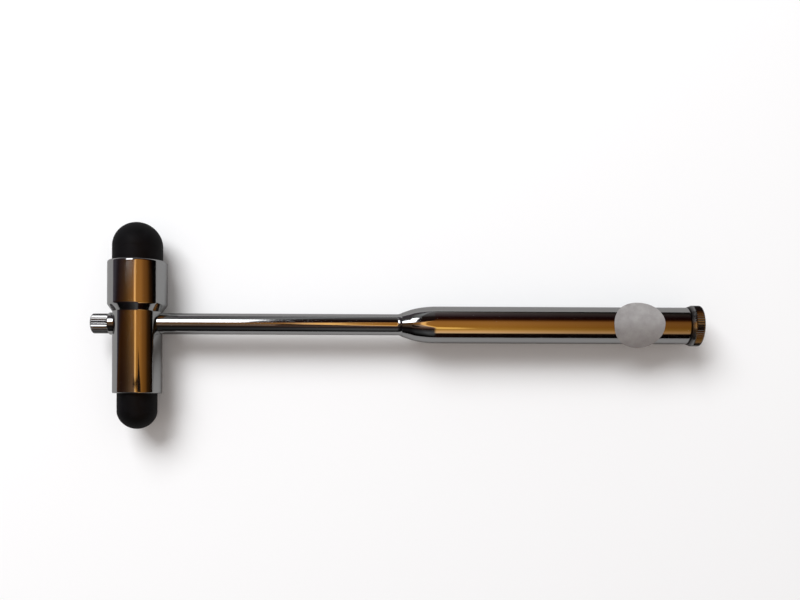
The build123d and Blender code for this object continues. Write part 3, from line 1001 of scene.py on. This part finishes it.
def between(value, low, high, soft):
    """A node that is 1 where a value lies between two others, and falls to 0 over a short way
    outside."""
    rise = carried(tree, value, low - soft, low, curve="SMOOTHSTEP")
    fall = carried(tree, value, high + soft, high, curve="SMOOTHSTEP")
    return reckoned(tree, "MULTIPLY", rise, fall)


edge_glow = reckoned(
    tree,
    "MULTIPLY",
    between(past_edge, 2 * DEGREE, 5 * DEGREE, 3 * DEGREE),
    between(along_head, turn(-24), turn(13), 8 * DEGREE),
)
glowing = blend(tree, edge_glow, (1, 1, 1, 1), EDGE_GLOW)
edged = blend(tree, 1.0, faded, glowing, "MULTIPLY")
window = reckoned(
    tree,
    "MULTIPLY",
    between(along_handle, turn(-27), turn(-5), 2 * DEGREE),
    between(along_head, turn(16), turn(44), 1.5 * DEGREE),
)
lit = blend(tree, window, edged, WINDOW_WHITE)
finish_material(tree, "ShaderNodeEmission", {"Color": lit, "Strength": 1 / CHROME_MIRRORS})
room_paint.cycles.emission_sampling = "NONE"

# %% [markdown]
# The dome is turned like the metal pieces, but its height follows the tenth power of the way
# out: it is flat nearly as far as its rim, and then comes down to the ground like a pillow.

# %% The room in the mirror
ROOM_RADIUS, ROOM_HEIGHT = 5.5, 0.252
ROOM_SQUARENESS = 10
MIRROR_POINT = (-0.0784, 0.0006, 0.012)

around = np.linspace(0, 2 * np.pi, 96, endpoint=False)
share_out = 1 - np.linspace(0, 1, 65)[:, None] ** 2
height = ROOM_HEIGHT * (1 - share_out**ROOM_SQUARENESS) ** (1 / ROOM_SQUARENESS)
out = ROOM_RADIUS * share_out
dome = np.stack([out * np.cos(around), out * np.sin(around), height + 0 * around], axis=-1)
vertices, faces = skin(dome)
room = stage_piece("room_in_mirrors", vertices.tolist(), faces, room_paint)
room.data.shade_smooth()
room.location = MIRROR_POINT
only_in_mirrors(room)
print("room of", len(faces), "faces")

# %% [markdown]
# The head also mirrors something small, dark and near, a long narrow wedge with a foot. It is a
# card above the shaft, drawn in millimetres, and like the room only mirror rays meet it.

# %% The dark card in the mirror
CARD_HEIGHT = 0.098
CARD_OUTLINE = [
    (-47, -2), (-48.6, -13.5), (-68, -15), (-80, -14), (-86, -18),
    (-50, -18), (-50, -30), (-12, -30), (-24, -17), (-37, -9),
]

card_ink, tree = new_material("dark_card")
finish_material(tree, "ShaderNodeEmission", {"Color": (0.010, 0.006, 0.005, 1)})
card_ink.cycles.emission_sampling = "NONE"
corners = [(x * MM, y * MM, CARD_HEIGHT) for x, y in CARD_OUTLINE]
card = stage_piece("dark_card", corners, [tuple(range(len(corners)))], card_ink)
only_in_mirrors(card)

# %% [markdown]
# ## Light
# One large soft lamp stands high up at the top left of the picture, so the soft shadow falls
# down and to the right. It doesn't show in mirrors, because the room is painted with a window
# of its own.

# %% Lamp
LAMP_PLACE = (-0.5, 0.8, 1.0)
LAMP_SIZE = (0.9, 0.7)
LAMP_WATTS = 18.5

lamp = bpy.data.lights.new("window_lamp", "AREA")
lamp.shape = "RECTANGLE"
lamp.size, lamp.size_y = LAMP_SIZE
lamp.energy = LAMP_WATTS
lamp.color = linear("#FAFCFF")[:3]
window_lamp = bpy.data.objects.new("window_lamp", lamp)
window_lamp.location = LAMP_PLACE
window_lamp.rotation_mode = "QUATERNION"
window_lamp.rotation_quaternion = (-window_lamp.location).to_track_quat("-Z", "Y")
window_lamp.visible_glossy = False
bpy.context.scene.collection.objects.link(window_lamp)

# %% [markdown]
# The rest of the light comes evenly from the world, a little warmer from below in the picture.
# Rays that see the world itself, straight or in a mirror or through glass, find it plain white.

# %% World
WORLD_STRENGTH = 0.46
WORLD_TINT = [(0.0, (0.78, 0.62, 0.54, 1)), (0.5, (0.93, 0.92, 0.91, 1)), (1.0, (1, 1, 1, 1))]

world = bpy.data.worlds.new("studio")
bpy.context.scene.world = world
world.use_nodes = True
tree = world.node_tree
tree.nodes.clear()
ray = add_node(tree, "ShaderNodeLightPath").outputs
seen = reckoned(tree, "MAXIMUM", ray["Is Camera Ray"], ray["Is Glossy Ray"])
seen = reckoned(tree, "MAXIMUM", seen, ray["Is Transmission Ray"])
direction = add_node(tree, "ShaderNodeTexCoord").outputs["Generated"]
sideways = add_node(tree, "ShaderNodeSeparateXYZ", {0: direction}).outputs["Y"]
tint = ramp(tree, carried(tree, sideways, -0.7, 0.7), WORLD_TINT)
soft = add_node(tree, "ShaderNodeBackground", {"Color": tint, "Strength": WORLD_STRENGTH})
white = add_node(tree, "ShaderNodeBackground", {"Color": linear("#FFFFFF"), "Strength": 1.0})
either = add_node(tree, "ShaderNodeMixShader", {0: seen, 1: soft.outputs[0], 2: white.outputs[0]})
add_node(tree, "ShaderNodeOutputWorld", {"Surface": either.outputs["Shader"]})

# %% [markdown]
# ## Camera
# The photograph looks straight down from a little over a quarter of a metre. Its lens axis meets
# the picture below the middle, so the lens is shifted and not tilted, which keeps all parallels
# parallel.

# %% Camera
CAMERA_PLACE = (0.00134, -0.0222, 0.2735)
CAMERA_TURN = math.radians(0.25)
PIXELS_ACROSS = 800
FOCAL_PIXELS = 873.0
AXIS_BELOW_MIDDLE = 100.0

camera_data = bpy.data.cameras.new("camera")
camera_data.sensor_width = 36.0
camera_data.lens = camera_data.sensor_width * FOCAL_PIXELS / PIXELS_ACROSS
camera_data.shift_y = AXIS_BELOW_MIDDLE / PIXELS_ACROSS
camera_data.clip_start = 0.01
camera = bpy.data.objects.new("camera", camera_data)
camera.location = CAMERA_PLACE
camera.rotation_euler = (0.0, 0.0, CAMERA_TURN)
bpy.context.scene.collection.objects.link(camera)
bpy.context.scene.camera = camera
bpy.context.scene.view_settings.view_transform = "Standard"
